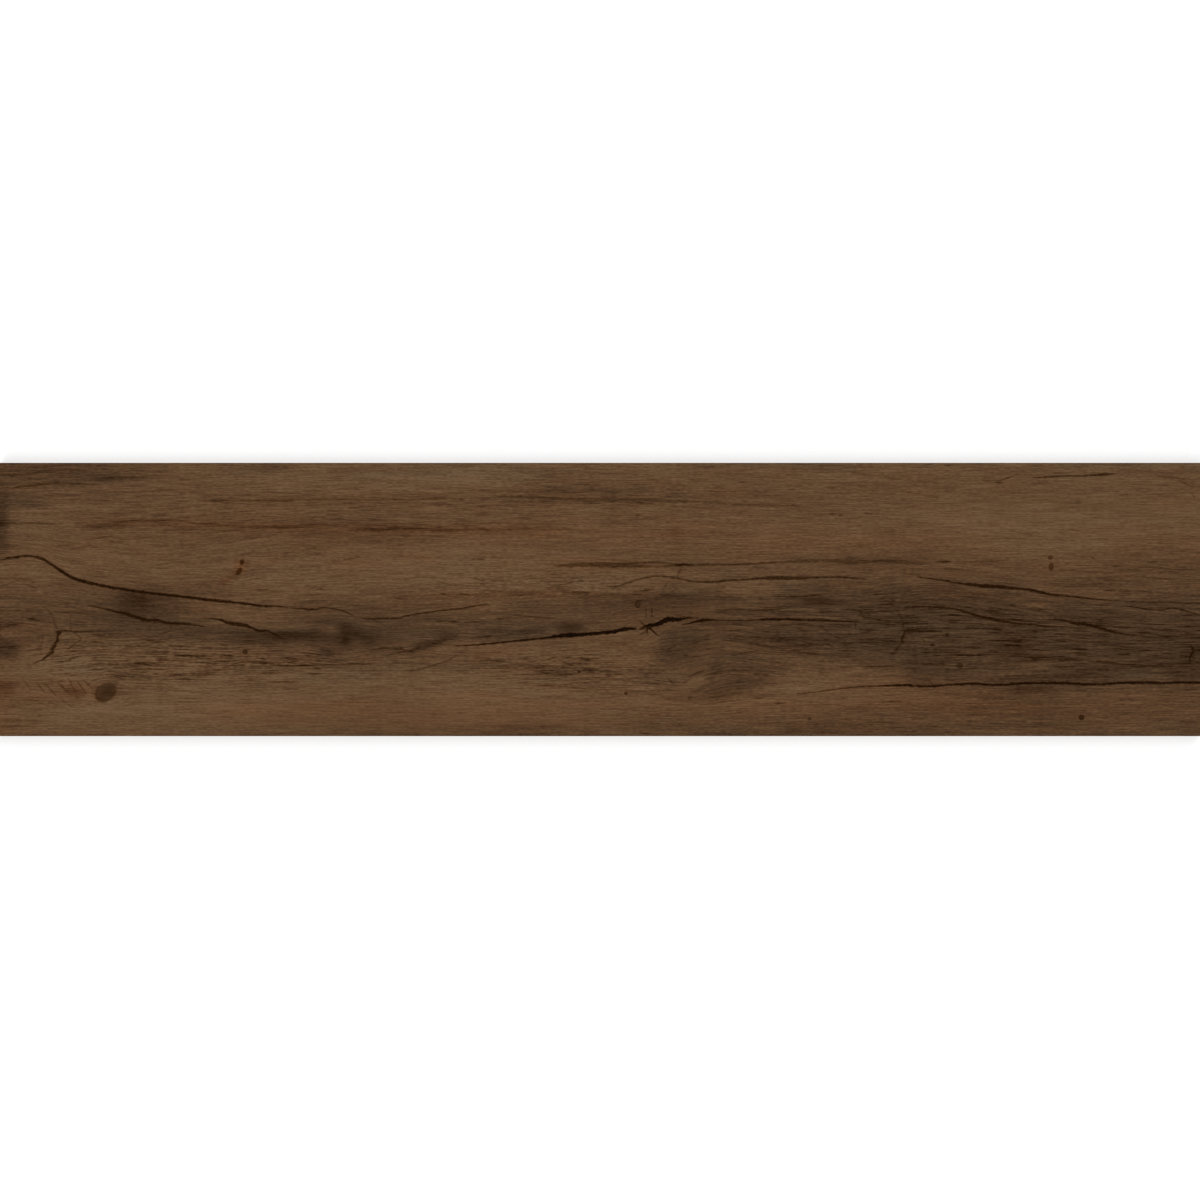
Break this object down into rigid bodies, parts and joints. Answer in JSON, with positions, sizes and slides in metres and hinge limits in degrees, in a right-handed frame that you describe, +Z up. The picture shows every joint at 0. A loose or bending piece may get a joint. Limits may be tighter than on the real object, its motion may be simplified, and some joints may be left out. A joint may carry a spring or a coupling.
{
  "type": "wood look porcelain plank tile",
  "caption": "Long flat porcelain floor or wall tile with a printed dark walnut plank face, square ground edges with a micro-bevel, and a back keyed for mortar by shallow wells.",
  "frame": {"origin": "middle of the back, on the plane of the ribs that the tile rests on", "axes": "+X along the plank and the printed grain, +Y across it, +Z up out of the printed face"},
  "size_m": [0.88, 0.2, 0.0095],
  "materials": {
    "printed_porcelain": "matte"
  },
  "bodies": {
    "root": {"plank_tile": "printed_porcelain"}
  },
  "joints": []
}
